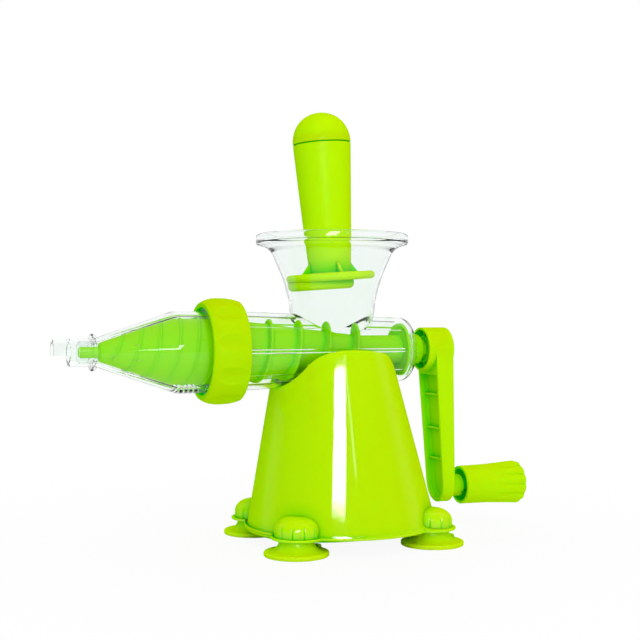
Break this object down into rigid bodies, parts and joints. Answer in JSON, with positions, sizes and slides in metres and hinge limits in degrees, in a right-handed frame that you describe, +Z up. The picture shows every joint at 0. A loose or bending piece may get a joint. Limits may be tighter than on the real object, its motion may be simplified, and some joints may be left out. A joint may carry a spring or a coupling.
{
  "type": "manual juicer",
  "caption": "Hand cranked wheatgrass juicer: a leaning cone base on suction cups, a clear barrel and hopper with an auger, a clear strainer cone, a ring nut, a crank and a pusher.",
  "frame": {"origin": "middle of the bounding box at the table, under the suction cups", "axes": "+X along the barrel from the nozzle to the crank's grip, +Z up, +Y to the far side"},
  "size_m": [0.324, 0.127, 0.2795],
  "materials": {
    "lime_gloss": "gloss moulded",
    "clear_body": "clear gloss",
    "lime_soft": "soft satin",
    "silicone": "translucent satin",
    "stainless": "brushed"
  },
  "bodies": {
    "stand": {"base_shell": "lime_gloss", "suction_cup_front_left": "lime_soft", "suction_cup_front_right": "lime_soft", "suction_cup_rear_left": "lime_soft", "suction_cup_rear_right": "lime_soft", "juicing_body": "clear_body", "body_screws": "stainless", "shaft_seal": "silicone"},
    "crank": {"auger": "lime_gloss", "crank_arm": "lime_gloss", "crank_screw": "stainless", "crank_washer": "stainless"},
    "grip": {"grip": "lime_gloss"},
    "pusher": {"pusher_handle": "lime_gloss", "pusher_cap": "lime_gloss"},
    "front_set": {"front_cone": "clear_body", "front_gasket": "silicone"},
    "ring": {"ring_nut": "lime_gloss"},
    "spout": {"nozzle": "clear_body"}
  },
  "joints": [
    {"name": "crank_turn", "type": "hinge", "parent": "stand", "child": "crank", "pos_m": [0, 0, 0.1242], "axis": [1, 0, 0], "continuous": true},
    {"name": "grip_spin", "type": "hinge", "parent": "crank", "child": "grip", "pos_m": [0.1356, 0, 0.0306], "axis": [1, 0, 0], "continuous": true},
    {"name": "pusher_lift", "type": "slide", "parent": "stand", "child": "pusher", "axis": [-0.0715, 0, 0.9974], "range_m": [0, 0.12]},
    {"name": "cone_advance", "type": "slide", "parent": "stand", "child": "front_set", "axis": [-1, 0, 0], "range_m": [0, 0.008]},
    {"name": "ring_unscrew", "type": "hinge", "parent": "front_set", "child": "ring", "pos_m": [-0.0584, 0, 0.1242], "axis": [-1, 0, 0], "range_deg": [0, 720]},
    {"name": "nozzle_turn", "type": "hinge", "parent": "front_set", "child": "spout", "pos_m": [-0.1444, 0, 0.1242], "axis": [-1, 0, 0], "range_deg": [0, 90]}
  ],
  "couplings": [
    {"joint": "ring_unscrew", "follows": "cone_advance", "rad_per_m": 1570.8}
  ]
}
